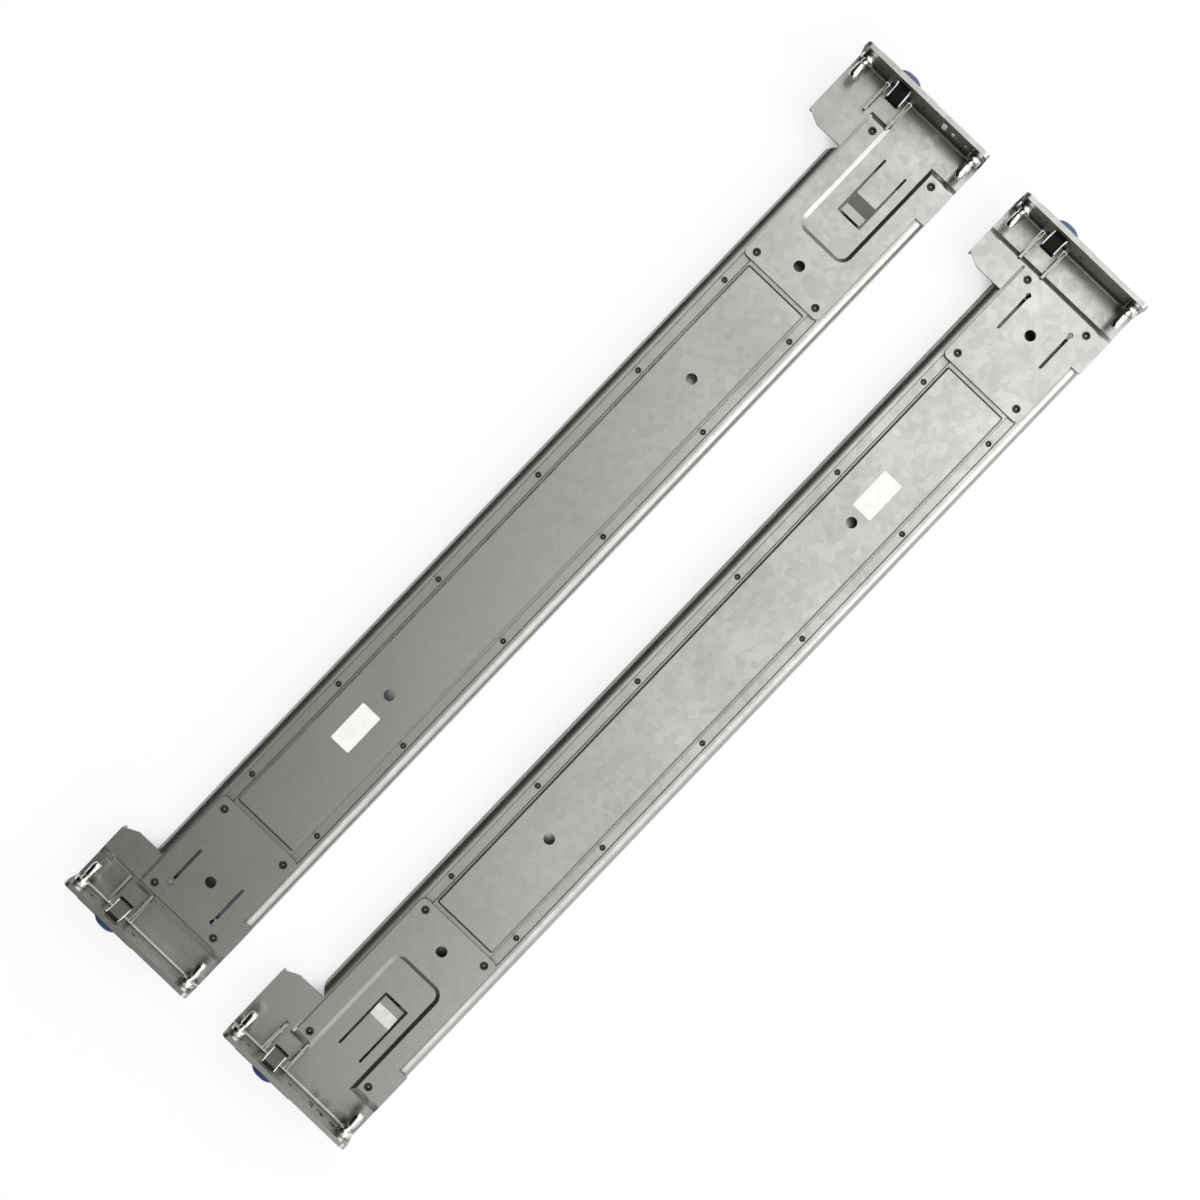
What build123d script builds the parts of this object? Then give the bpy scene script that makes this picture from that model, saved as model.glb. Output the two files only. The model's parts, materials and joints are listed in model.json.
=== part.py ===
from build123d import *
import os

# A pair of two-unit rack rails, lying on their server sides with the rack sides up.
# Each rail is drawn about its own centre line, X along the rail towards its front,
# Y towards the ears and Z away from the server. The right rail is the left one
# turned end for end by a mirror, as the pair is handed.

# Overall sizes
rail_length = 604.4          # over the flat faces of the two flange covers
rail_pitch = 113.5           # between the centre lines of the pair
pin_spacing = 76.2           # first to last hole of a two-unit rack pattern
rack_hole_step = 15.875      # step between neighbouring rack holes
running_gap = 0.4            # between sheet parts that pass each other
pivot_clearance = 0.05       # radial, pin in a moving part
press_clearance = 0.02       # radial, rivet or pin in a fixed part

# Outer channel
flange_reach = 24.2          # from a cover's face to the channel's end
channel_width = 66.0
channel_sheet = 1.5
channel_bend = 5.0           # outer radius of the long corners
channel_lip = 4.0
lip_floor_gap = 1.0          # the channel's lips stand this far from the server
plateau_width = 40.4
plateau_rise = 1.2
plateau_slope = 45           # degrees of its flanks from the upright
plateau_margin = 2.3         # from a bracket plate to the plateau
plateau_corner = 1.5
band_width = 5.8
band_depth = 0.7
band_slope = 35
band_overlap = 2.0           # of a band's end under a bracket's plate
access_hole = 6.2
web_hole_front = 67.4        # from the front bracket's plate
web_hole_rear = 97.7         # from the rear bracket's plate

# Rivet rows that hold the raceways
row_margin = 17.25           # from a bracket's plate to the last rivet
row_offset = 23.7            # from the centre line to a row
row_end_step = 66.1          # between the last two rivets of a row
row_rivet_head = 3.4
row_rivet_shank = 2.2
row_rivet_tail = 2.8         # head under the raceway's flange
row_rivet_rise = 0.35

# Sliding member, balls and their retainer
member_length = 546.0
member_front_gap = 2.0       # inside the channel's front end
member_height = 8.4
member_web = 1.4
member_wall = 1.8
member_travel = 320.0
member_hole = 4.3
member_hole_spacing_x = 400.0
member_hole_spacing_y = 24.0
member_slot_length = 60.0
member_slot_width = 14.0
ball_diameter = 3.175
ball_offset = 24.3           # from the centre line to a row of balls
ball_height = 5.2
ball_clearance = 0.05
race_half_gap = 0.9          # from the ball's centre to the sheet on each side
balls_per_row = 6
retainer_length = 110.0
retainer_end_gap = 5.0       # left in front of the retainer at full travel
retainer_sheet = 0.7
retainer_wing = 1.0
retainer_wing_drop = 7.0
raceway_headroom = 2.5       # above the retainer
raceway_sheet = 1.2
raceway_leg = 1.8
raceway_inner_edge = 20.8
raceway_overhang = 4.2       # past the last rivet
raceway_leg_gap = 2.0        # from the server to the leg
end_tab_length = 1.2
bumper_length = 6.0
bumper_width = 30.0

# Brackets
bracket_sheet = 1.5
bracket_bend = 3.0
bracket_plate_width = 53.8
bracket_front_plate = 121.0  # length of plate from the cover's face, front bracket
bracket_rear_plate = 87.2    # the same, rear bracket
bracket_corner = 3.0
joggle_length = 3.2
joggle_gap = 0.8             # from the channel's end to the joggle
flange_edge_offset = 33.0    # from the centre line to the flange's plain end
flange_height = 19.8         # above the plate beside it
flange_corner = 3.0
ear_inner_edge = 28.6
front_ear_length = 45.0
rear_ear_length = 41.5
ear_chamfer_along = 4.1
ear_chamfer_across = 8.5
ear_lip_drop = 6.2
slit_end_gap = 24.7          # from the cover's face to the slit's round end
side_tab_length = 45.3
bracket_rivet_head = 4.6
bracket_rivet_shank = 3.0
bracket_rivet_rise = 0.4
bracket_rivet_offset = 21.4
front_rivets_near = 27.8     # from the cover's face
front_rivets_far = 116.2
rear_rivets_near = 28.0
rear_rivets_far = 81.4
front_access_hole = 106.1    # from the cover's face
rear_access_hole = 48.4

# Catch tongue of the front bracket
recess_length = 65.6
recess_width = 29.8
recess_wall = 1.2
recess_slope = 56            # degrees of its walls from the upright
recess_end = 88.7            # from the cover's face to the recess's inner end
recess_corner = 4.5
tongue_offset = -1.6
tongue_width = 13.4
tongue_root = 34.2           # from the cover's face
tongue_tip = 69.6
tongue_slot = 1.4
tongue_slope_start = 56.4
tongue_slope_length = 6.9
tongue_drop = 2.3

# Long slots of the rear bracket
long_slot_offset = 15.3
long_slot_centre = 44.9      # from the cover's face
long_slot_length = 25.4
long_slot_width = 1.8
long_slot_eye = 3.0
long_slot_relief = 0.4       # a slot in the channel below is this much wider all round

# Flange cover, pins and holes
cover_sheet = 1.2
cover_base_gap = 1.8         # from the plate's top to the cover's lower edge
dish_width = 39.0
dish_rise = 1.4
dish_top_margin = 3.0
cover_rivet_spacing = 30.0
cover_rivet_shank = 2.5
cover_rivet_head = 4.4
cover_rivet_rise = 0.7
pin_height = 9.5             # above the plate
pin_edge = 5.4               # from the ear's end of the flange
pin_collar = 8.6
pin_collar_length = 3.6
pin_neck = 4.0
pin_neck_length = 2.6
pin_shaft = 5.4
rear_pin_shaft = 4.9         # slimmer, so that the rear end drops in first
pin_shaft_length = 7.0
pin_cone_length = 1.8
pin_cone_end = 3.2
pin_tail = 4.4
pin_head = 6.8
pin_head_rise = 0.8
flange_screw_hole = 5.0
flange_small_hole = 4.0
flange_small_hole_step = 8.7
flange_slot_width = 3.0
flange_slot_height = 8.0
flange_slot_step = 6.8
hole_relief = 0.7            # a hole in the cover is this much wider all round

# Latch, its pivot, spring and button
latch_sheet = 1.5
post_gap = 3.0               # room for a rack post between flange and hook
pivot_back = 15.0            # from the flange's inner face to the pivot
pivot_drop = 2.3             # from the underside of the plate to the pivot
pivot_diameter = 2.0
pivot_boss = 3.8
pivot_head = 3.0
pivot_head_length = 0.5
hook_height = 3.6            # above the plate
hook_notch_height = 1.8
blade_tip_back = 20.0
blade_tip_height = 1.9
blade_tip_depth = 0.9
blade_end_gap = 1.2
blade_slot_gap = 0.4
base_plate_start = 2.6       # from the pivot
base_plate_end = 10.0
base_plate_drop = 0.3
base_plate_sheet = 1.4
lug_gap = 0.5
lug_width = 3.8
lug_depth = 4.3
arm_width = 7.6
arm_sheet = 1.5
arm_window_gap = 0.7
arm_window_back = 7.8
arm_top = 10.1               # above the plate
arm_knee = 4.4               # above the plate
button_width = 15.0
button_height = 9.0
button_base = 5.2            # above the plate
button_depth = 6.0
button_seat = 0.6
button_gap = 0.7
button_corner = 3.0
button_crown = 2.0
spring_wire = 0.7
spring_turns = 8
spring_leg = 3.0

# Levels, from the server side up
retainer_web_low = member_height + running_gap
retainer_web_top = retainer_web_low + retainer_sheet
raceway_low = retainer_web_top + raceway_headroom
raceway_top = raceway_low + raceway_sheet
web_top = raceway_top + band_depth + channel_sheet
web_low = web_top - channel_sheet
plate_top = web_top + bracket_sheet
flange_plate_low = web_top - bracket_sheet
flange_plate_top = web_top
pin_level = flange_plate_top + pin_height
flange_top = flange_plate_top + flange_height

# Places along and across the rail
rail_half = rail_length / 2
flange_length = pin_spacing + 2 * pin_edge
flange_outer = rail_half - cover_sheet
flange_inner = flange_outer - bracket_sheet
channel_end = rail_half - flange_reach
member_front = channel_end - member_front_gap
member_rear = member_front - member_length
joggle_start = channel_end + joggle_gap
joggle_end = joggle_start + joggle_length
front_plate_edge = rail_half - bracket_front_plate
rear_plate_edge = bracket_rear_plate - rail_half
ear_edge = flange_length - flange_edge_offset
ear_pin = ear_edge - pin_edge
plain_pin = ear_pin - pin_spacing
blade_rows = (ear_pin - rack_hole_step, ear_pin - 2 * rack_hole_step)
latch_centre = sum(blade_rows) / 2
pivot_x = flange_inner - pivot_back
pivot_z = flange_plate_low - pivot_drop
ball_radius = ball_diameter / 2
member_face = ball_offset - race_half_gap
raceway_face = ball_offset + race_half_gap
raceway_outer = raceway_face + raceway_leg
row_centre = (front_plate_edge + rear_plate_edge) / 2
row_reach = (front_plate_edge - rear_plate_edge) / 2 - row_margin
row_step = (row_reach - row_end_step) / 1.5
raceway_end = row_centre + row_reach + raceway_overhang
retainer_front = raceway_end - end_tab_length - retainer_end_gap - member_travel / 2
retainer_rear = retainer_front - retainer_length
rivet_row = [row_centre + step * row_step for step in (-1.5, -0.5, 0.5, 1.5)]
rivet_row = [row_centre - row_reach] + rivet_row + [row_centre + row_reach]
left_centre = rail_pitch / 2 - (ear_edge - flange_edge_offset) / 2
right_centre = left_centre - rail_pitch


def outer_channel():
    """Roll-formed channel: raised plateau, two sunk rivet bands, round corners, returned lips."""
    half = channel_width / 2
    wall_inner = half - channel_sheet
    inner_width = channel_width - 2 * channel_sheet
    inner_height = web_low - lip_floor_gap - channel_sheet
    with BuildPart() as channel:
        with BuildSketch(Plane.YZ.offset(-channel_end)):
            with Locations((0, lip_floor_gap)):
                Rectangle(channel_width, web_top - lip_floor_gap, align=(Align.CENTER, Align.MIN))
            with Locations((0, lip_floor_gap + channel_sheet)):
                Rectangle(inner_width, inner_height, align=(Align.CENTER, Align.MIN),
                          mode=Mode.SUBTRACT)
            with Locations((0, lip_floor_gap)):
                Rectangle(channel_width - 2 * channel_lip, channel_sheet,
                          align=(Align.CENTER, Align.MIN), mode=Mode.SUBTRACT)
        extrude(amount=2 * channel_end)
        outer_edges = channel.edges().filter_by(Axis.X).filter_by(
            lambda e: abs(abs(e.center().Y) - half) < 0.01)
        fillet(outer_edges.group_by(Axis.Z)[-1], channel_bend)
        fillet(outer_edges.group_by(Axis.Z)[0], channel_sheet)
        inner_edges = channel.edges().filter_by(Axis.X).filter_by(
            lambda e: abs(abs(e.center().Y) - wall_inner) < 0.01)
        fillet(inner_edges.group_by(Axis.Z)[-1], channel_bend - channel_sheet)
        plateau_start = rear_plate_edge + plateau_margin
        plateau_end = front_plate_edge - plateau_margin
        plateau_length = plateau_end - plateau_start
        with BuildSketch(Plane.XY.offset(web_top)):
            with Locations(((plateau_start + plateau_end) / 2, 0)):
                RectangleRounded(plateau_length, plateau_width, plateau_corner)
        extrude(amount=plateau_rise, taper=plateau_slope)
        with BuildSketch(Plane.XY.offset(web_low)):
            with Locations(((plateau_start + plateau_end) / 2, 0)):
                RectangleRounded(plateau_length - 2 * channel_sheet,
                                 plateau_width - 2 * channel_sheet, plateau_corner)
        extrude(amount=plateau_rise, taper=plateau_slope, mode=Mode.SUBTRACT)
        band_length = front_plate_edge - rear_plate_edge + 2 * band_overlap
        with BuildSketch(Plane.XY.offset(web_top)):
            with Locations((row_centre, row_offset), (row_centre, -row_offset)):
                SlotOverall(band_length, band_width)
        extrude(amount=-band_depth, taper=band_slope, mode=Mode.SUBTRACT)
        with BuildSketch(Plane.XY.offset(web_low)):
            with Locations((row_centre, row_offset), (row_centre, -row_offset)):
                SlotOverall(band_length, band_width)
        extrude(amount=-band_depth)
        with BuildSketch(Plane.XY.offset(raceway_top)):
            with Locations(*[(x, side * row_offset) for x in rivet_row for side in (1, -1)]):
                Circle(row_rivet_shank / 2 + press_clearance)
            with Locations((front_plate_edge - web_hole_front, 0),
                           (rear_plate_edge + web_hole_rear, 0),
                           (rail_half - front_access_hole, 0),
                           (rear_access_hole - rail_half, 0)):
                Circle(access_hole / 2)
            with Locations(*bracket_rivet_places()):
                Circle(bracket_rivet_shank / 2 + press_clearance)
            long_slots(-1, long_slot_relief)
        extrude(amount=plateau_rise + web_top, mode=Mode.SUBTRACT)
        ear_start = rail_half - front_ear_length - running_gap
        with BuildSketch(Plane.XY):
            with BuildLine():
                Polyline(
                    (ear_start - channel_bend, half), (ear_start, half - channel_bend),
                    (channel_end, half - channel_bend), (channel_end, half), close=True)
            make_face()
        extrude(amount=web_top, mode=Mode.SUBTRACT)
        notch_start = rail_half - recess_end - recess_wall - running_gap
        with BuildSketch(Plane.XY.offset(raceway_top)):
            with Locations((notch_start, 0)):
                Rectangle(rail_half, recess_width + 2 * (recess_wall + running_gap),
                          align=(Align.MIN, Align.CENTER))
        extrude(amount=channel_width, mode=Mode.SUBTRACT)
    return channel.part


def bracket_rivet_places():
    """Plan places of the eight rivets that hold the two brackets to the channel."""
    stations = [rail_half - front_rivets_near, rail_half - front_rivets_far]
    stations += [rear_rivets_near - rail_half, rear_rivets_far - rail_half]
    return [(x, side * bracket_rivet_offset) for x in stations for side in (1, -1)]


def bracket_blank(plate_length, ear_length, level_ear):
    """Bent blank, flange at +X: plate, joggle, flange and ear. A level ear isn't joggled."""
    plate_edge = rail_half - plate_length
    ear_end = rail_half - ear_length
    half = bracket_plate_width / 2
    tab_start = rail_half - side_tab_length
    slit_end = rail_half - slit_end_gap
    ear_low = web_top
    if level_ear:
        slit_end = joggle_start + joggle_length / 2
        ear_low = flange_plate_low
    slit = ear_inner_edge - half
    openings = latch_openings()
    with BuildPart() as blank:
        with BuildSketch(Plane.XZ.offset(-ear_edge)):
            with BuildLine():
                path = FilletPolyline(
                    (plate_edge, web_top), (joggle_start, web_top),
                    (joggle_end, flange_plate_low), (flange_outer, flange_plate_low),
                    (flange_outer, flange_top), radius=bracket_bend)
                offset(path, amount=bracket_sheet, side=Side.LEFT)
            make_face()
        extrude(amount=flange_length)
        with BuildSketch(Plane.XY):
            with BuildLine():
                Polyline(
                    (plate_edge, -half), (tab_start, -half), (tab_start, -flange_edge_offset),
                    (rail_half, -flange_edge_offset), (rail_half, ear_edge),
                    (ear_end + ear_chamfer_along, ear_edge),
                    (ear_end, ear_edge - ear_chamfer_across), (ear_end, ear_inner_edge),
                    (slit_end, ear_inner_edge), (slit_end, half), (plate_edge, half), close=True)
            make_face()
            with Locations((slit_end, half + slit / 2)):
                Circle(slit / 2, mode=Mode.SUBTRACT)
        extrude(amount=flange_top, mode=Mode.INTERSECT)
        corners = blank.edges().filter_by(Axis.Z).group_by(Axis.X)[0]
        fillet(corners, bracket_corner)
        top_corners = blank.edges().filter_by(Axis.X).group_by(Axis.Z)[-1]
        fillet(top_corners, flange_corner)
        if level_ear:
            level_end = joggle_end + bracket_bend
            with BuildSketch(Plane.XY.offset(flange_plate_low)):
                with Locations((ear_end, ear_inner_edge)):
                    Rectangle(level_end - ear_end, flange_length, align=(Align.MIN, Align.MIN))
            extrude(amount=flange_height, mode=Mode.SUBTRACT)
            with BuildSketch(Plane.XY.offset(flange_plate_low)):
                with BuildLine():
                    Polyline(
                        (level_end, ear_inner_edge), (level_end, ear_edge),
                        (ear_end + ear_chamfer_along, ear_edge),
                        (ear_end, ear_edge - ear_chamfer_across), (ear_end, ear_inner_edge),
                        close=True)
                make_face()
            extrude(amount=bracket_sheet)
        lip_start = ear_end + ear_chamfer_along
        half_sheet = bracket_sheet / 2
        with BuildSketch(Plane.XZ.offset(-ear_edge)):
            with BuildLine():
                Polyline(
                    (lip_start, web_top - ear_lip_drop), (lip_start, ear_low + half_sheet),
                    (joggle_start, ear_low + half_sheet),
                    (joggle_end, flange_plate_low + half_sheet),
                    (flange_inner, flange_plate_low + half_sheet),
                    (flange_inner, web_top - ear_lip_drop), close=True)
            make_face()
        extrude(amount=bracket_sheet)
        add(openings, mode=Mode.SUBTRACT)
        with BuildSketch(Plane.XY.offset(flange_plate_low - lug_depth)):
            for row, side in zip(blade_rows, (1, -1)):
                edge = row + side * (latch_sheet / 2 + lug_gap + bracket_sheet / 2)
                with Locations((pivot_x, edge)):
                    Rectangle(lug_width, bracket_sheet)
        extrude(amount=lug_depth)
        lug_tips = blank.edges().filter_by(Axis.Y).filter_by(
            lambda e: abs(e.center().Z - flange_plate_low + lug_depth) < 0.01)
        fillet(lug_tips, lug_width * 0.4)
        with BuildSketch(Plane.XZ.offset(-ear_edge)):
            with Locations((pivot_x, pivot_z)):
                Circle(pivot_diameter / 2 + press_clearance)
        extrude(amount=flange_length, mode=Mode.SUBTRACT)
        with BuildSketch(Plane.YZ.offset(flange_inner)):
            with Locations((ear_pin, pin_level), (plain_pin, pin_level)):
                Circle(pin_tail / 2 + press_clearance)
            with Locations(*cover_rivet_places()):
                Circle(cover_rivet_shank / 2 + press_clearance)
        extrude(amount=bracket_sheet, mode=Mode.SUBTRACT)
    return blank.part


def latch_openings():
    """Shape of the slots that the blades swing through and of the window for the button's arm."""
    slot_length = flange_inner - pivot_x + pivot_boss / 2 + blade_slot_gap
    with BuildPart() as openings:
        with BuildSketch(Plane.XY.offset(flange_plate_low)):
            for row in blade_rows:
                with Locations((flange_inner - slot_length, row)):
                    Rectangle(slot_length, latch_sheet + 2 * blade_slot_gap,
                              align=(Align.MIN, Align.CENTER))
        extrude(amount=bracket_sheet + bracket_bend)
        with BuildSketch(Plane.XY.offset(flange_plate_low)):
            with Locations((flange_inner - arm_window_back, latch_centre)):
                Rectangle(arm_window_back + bracket_sheet, arm_width + 2 * arm_window_gap,
                          align=(Align.MIN, Align.CENTER))
        extrude(amount=bracket_sheet + button_base + button_height + button_gap)
    return openings.part


def cover_rivet_places():
    """Places of the two cover rivets, across and up the flange."""
    reach = cover_rivet_spacing / 2
    return [(latch_centre + reach, pin_level), (latch_centre - reach, pin_level)]


def front_bracket():
    """Front bracket: the blank with its recess, catch tongue and the extra flange holes."""
    inner_end = rail_half - recess_end
    floor_low = flange_plate_low
    blank = bracket_blank(bracket_front_plate, front_ear_length, True)
    cuts = tongue_cuts()
    blade = tongue_blade()
    with BuildPart() as bracket:
        add(blank)
        tub_length = joggle_end - inner_end + recess_wall
        with BuildSketch(Plane.XY.offset(floor_low)):
            with Locations((inner_end - recess_wall, 0)):
                Rectangle(tub_length, recess_width + 2 * recess_wall,
                          align=(Align.MIN, Align.CENTER))
        extrude(amount=bracket_sheet)
        outside = bracket.edges().filter_by(Axis.Z).filter_by(
            lambda e: abs(e.center().X - inner_end + recess_wall) < 0.01)
        fillet(outside, recess_corner + recess_wall)
        with BuildSketch(Plane.XY.offset(floor_low + bracket_sheet)):
            with Locations((inner_end, 0)):
                RectangleRounded(recess_length + 2 * recess_corner, recess_width, recess_corner,
                                 align=(Align.MIN, Align.CENTER))
        extrude(amount=bracket_sheet, taper=-recess_slope, mode=Mode.SUBTRACT)
        add(cuts, mode=Mode.SUBTRACT)
        add(blade)
        with BuildSketch(Plane.XY.offset(floor_low)):
            with Locations((rail_half - front_access_hole, 0)):
                Circle(access_hole / 2)
            for near in (front_rivets_near, front_rivets_far):
                with Locations((rail_half - near, bracket_rivet_offset),
                               (rail_half - near, -bracket_rivet_offset)):
                    Circle(bracket_rivet_shank / 2 + press_clearance)
        extrude(amount=2 * bracket_sheet, mode=Mode.SUBTRACT)
        with BuildSketch(Plane.YZ.offset(flange_inner)):
            flange_holes(0)
        extrude(amount=bracket_sheet, mode=Mode.SUBTRACT)
    return bracket.part


def flange_holes(relief):
    """Chassis screw hole, small hole and catch slot of a front flange, in its own plane."""
    screw = ear_pin - pin_spacing + rack_hole_step
    with Locations((screw, pin_level)):
        Circle(flange_screw_hole / 2 + relief)
    with Locations((screw - flange_small_hole_step, pin_level)):
        Circle(flange_small_hole / 2 + relief)
    with Locations((screw + flange_slot_step, pin_level)):
        Rectangle(flange_slot_width + 2 * relief, flange_slot_height + 2 * relief)


def tongue_cuts():
    """Shape cut from the recess floor: two long slots and all beyond the tongue's slope."""
    root = rail_half - tongue_root
    tip = rail_half - tongue_tip
    slope_start = rail_half - tongue_slope_start
    step = (tongue_width + tongue_slot) / 2
    with BuildPart() as cuts:
        with BuildSketch(Plane.XY.offset(flange_plate_low)):
            for side in (1, -1):
                with Locations(((root + tip) / 2, tongue_offset + side * step)):
                    SlotOverall(root - tip + tongue_slot, tongue_slot)
            with Locations((tip - tongue_slot / 2, tongue_offset)):
                Rectangle(slope_start - tip + tongue_slot / 2, 2 * step,
                          align=(Align.MIN, Align.CENTER))
        extrude(amount=bracket_sheet)
    return cuts.part


def tongue_blade():
    """The tongue's free end: a slope down from the floor and a flat tip."""
    slope_start = rail_half - tongue_slope_start
    slope_end = slope_start - tongue_slope_length
    tip = rail_half - tongue_tip
    floor_low = flange_plate_low
    floor_top = flange_plate_top
    with BuildPart() as blade:
        with BuildSketch(Plane.XZ.offset(-tongue_offset)):
            with BuildLine():
                Polyline(
                    (slope_start, floor_low), (slope_start, floor_top),
                    (slope_end, floor_top - tongue_drop),
                    (tip + tongue_slot, floor_top - tongue_drop),
                    (tip + tongue_slot, floor_low - tongue_drop),
                    (slope_end, floor_low - tongue_drop), close=True)
            make_face()
        extrude(amount=tongue_width / 2, both=True)
    return blade.part


def long_slots(end, relief):
    """Two long slots with an eye at one end, at the rail's end that has this sign."""
    centre = rail_half - long_slot_centre
    eye = centre + (long_slot_length - long_slot_eye) / 2
    with Locations((end * centre, long_slot_offset), (end * centre, -long_slot_offset)):
        SlotOverall(long_slot_length + 2 * relief, long_slot_width + 2 * relief)
    with Locations((end * eye, long_slot_offset), (end * eye, -long_slot_offset)):
        Circle(long_slot_eye / 2 + relief)


def rear_bracket():
    """Rear bracket, drawn with its flange at +X: the blank with its two long slots."""
    blank = bracket_blank(bracket_rear_plate, rear_ear_length, False)
    with BuildPart() as bracket:
        add(blank)
        with BuildSketch(Plane.XY.offset(web_top)):
            long_slots(1, 0)
            with Locations((rail_half - rear_access_hole, 0)):
                Circle(access_hole / 2)
            for near in (rear_rivets_near, rear_rivets_far):
                with Locations((rail_half - near, bracket_rivet_offset),
                               (rail_half - near, -bracket_rivet_offset)):
                    Circle(bracket_rivet_shank / 2 + press_clearance)
        extrude(amount=bracket_sheet, mode=Mode.SUBTRACT)
    return bracket.part


def flange_cover(with_holes):
    """Pressed cover on a flange's outer face, dished round the button, flange at +X."""
    low = flange_plate_top + cover_base_gap
    height = flange_top - low
    dish_height = height - dish_top_margin
    notch_width = button_width + 2 * button_gap
    notch_top = flange_plate_top + button_base + button_height + button_gap
    with BuildPart() as cover:
        with BuildSketch(Plane.YZ.offset(flange_outer)):
            with Locations((ear_edge, low)):
                Rectangle(flange_length, height, align=(Align.MAX, Align.MIN))
        extrude(amount=cover_sheet)
        top_corners = cover.edges().filter_by(Axis.X).group_by(Axis.Z)[-1]
        fillet(top_corners, flange_corner)
        with BuildSketch(Plane.YZ.offset(rail_half)):
            with Locations((latch_centre, low)):
                Rectangle(dish_width, dish_height, align=(Align.CENTER, Align.MIN))
        extrude(amount=dish_rise, taper=15)
        with BuildSketch(Plane.YZ.offset(flange_outer)):
            with Locations((latch_centre, low)):
                Rectangle(dish_width - 2 * cover_sheet, dish_height - cover_sheet,
                          align=(Align.CENTER, Align.MIN))
        extrude(amount=dish_rise, taper=15, mode=Mode.SUBTRACT)
        with BuildSketch(Plane.YZ.offset(flange_outer)):
            with Locations((latch_centre, low)):
                Rectangle(notch_width, notch_top - low, align=(Align.CENTER, Align.MIN))
            with Locations(*cover_rivet_places()):
                Circle(cover_rivet_shank / 2 + press_clearance)
            with Locations((ear_pin, pin_level), (plain_pin, pin_level)):
                Circle(pin_tail / 2 + press_clearance)
            if with_holes:
                flange_holes(hole_relief)
        extrude(amount=cover_sheet + dish_rise, mode=Mode.SUBTRACT)
    return cover.part


def cover_rivets():
    """Two rivets that hold the cover's dish to the flange."""
    top = rail_half + dish_rise
    with BuildPart() as rivets:
        with BuildSketch(Plane.YZ.offset(flange_inner)):
            with Locations(*cover_rivet_places()):
                Circle(cover_rivet_shank / 2)
        extrude(amount=top - flange_inner)
        with BuildSketch(Plane.YZ.offset(top)):
            with Locations(*cover_rivet_places()):
                Circle(cover_rivet_head / 2)
        extrude(amount=cover_rivet_rise, taper=35)
    return rivets.part


def locating_pins(shaft):
    """Two stepped pins, turned in one piece: collar, neck, shaft, cone and riveted tail."""
    neck_start = flange_inner - pin_collar_length
    shaft_start = neck_start - pin_neck_length
    cone_start = shaft_start - pin_shaft_length
    tip = cone_start - pin_cone_length
    head_end = rail_half + pin_head_rise
    with BuildPart() as pins:
        for across in (ear_pin, plain_pin):
            axis = Axis((0, across, pin_level), (1, 0, 0))
            with BuildSketch(Plane.XZ.offset(-across)):
                with BuildLine():
                    Polyline(
                        (tip, pin_level), (tip, pin_level + pin_cone_end / 2),
                        (cone_start, pin_level + shaft / 2),
                        (shaft_start, pin_level + shaft / 2),
                        (shaft_start, pin_level + pin_neck / 2),
                        (neck_start, pin_level + pin_neck / 2),
                        (neck_start, pin_level + pin_collar / 2),
                        (flange_inner, pin_level + pin_collar / 2),
                        (flange_inner, pin_level + pin_tail / 2),
                        (rail_half, pin_level + pin_tail / 2),
                        (rail_half, pin_level + pin_head / 2),
                        (head_end, pin_level + pin_tail / 2), (head_end, pin_level),
                        close=True)
                make_face()
            revolve(axis=axis)
    return pins.part


def latch():
    """Sprung latch, flange at +X: two hooked blades on a base plate, with the button's arm."""
    hook_x = flange_inner - post_gap
    end_x = flange_inner - blade_end_gap
    tip_x = flange_inner - blade_tip_back
    base = flange_plate_top
    base_low = pivot_z - base_plate_drop
    base_end = pivot_x + base_plate_end
    with BuildPart() as lever:
        for row in blade_rows:
            with BuildSketch(Plane.XZ.offset(-row)):
                with BuildLine():
                    Polyline(
                        (pivot_x, base_low), (end_x, base_low),
                        (end_x, base + hook_notch_height), (hook_x, base + hook_notch_height),
                        (hook_x, base + hook_height), (hook_x - post_gap, base + hook_height),
                        (tip_x, base + blade_tip_height + blade_tip_depth),
                        (tip_x, base + blade_tip_height),
                        (pivot_x - pivot_boss / 2, base + blade_tip_height),
                        (pivot_x - pivot_boss / 2, pivot_z), close=True)
                make_face()
                with Locations((pivot_x, pivot_z)):
                    Circle(pivot_boss / 2)
            extrude(amount=latch_sheet / 2, both=True)
        with BuildSketch(Plane.XY.offset(base_low)):
            with Locations((pivot_x + base_plate_start, latch_centre)):
                Rectangle(base_plate_end - base_plate_start, rack_hole_step,
                          align=(Align.MIN, Align.CENTER))
        extrude(amount=base_plate_sheet)
        with BuildSketch(Plane.XZ.offset(-latch_centre)):
            with BuildLine():
                arm_outer = flange_outer + arm_sheet - button_seat
                Polyline(
                    (base_end - 2 * arm_sheet, base_low), (base_end, base_low),
                    (arm_outer, base + arm_knee), (arm_outer, base + arm_top),
                    (arm_outer - arm_sheet, base + arm_top),
                    (arm_outer - arm_sheet, base + arm_knee + arm_sheet / 2),
                    (base_end - 2 * arm_sheet, base_low + base_plate_sheet), close=True)
            make_face()
        extrude(amount=arm_width / 2, both=True)
        with BuildSketch(Plane.XZ.offset(-ear_edge)):
            with Locations((pivot_x, pivot_z)):
                Circle(pivot_diameter / 2 + pivot_clearance)
        extrude(amount=flange_length, mode=Mode.SUBTRACT)
    return lever.part


def latch_pin():
    """Headed pivot pin, from outside one lug to outside the other."""
    reach = rack_hole_step / 2 + latch_sheet / 2 + lug_gap + bracket_sheet + pivot_head_length
    with BuildPart() as pin:
        with BuildSketch(Plane.XZ.offset(-latch_centre - reach)):
            with Locations((pivot_x, pivot_z)):
                Circle(pivot_diameter / 2)
        extrude(amount=2 * reach)
        with BuildSketch(Plane.XZ.offset(-latch_centre - reach)):
            with Locations((pivot_x, pivot_z)):
                Circle(pivot_head / 2)
        extrude(amount=pivot_head_length)
    return pin.part


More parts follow.
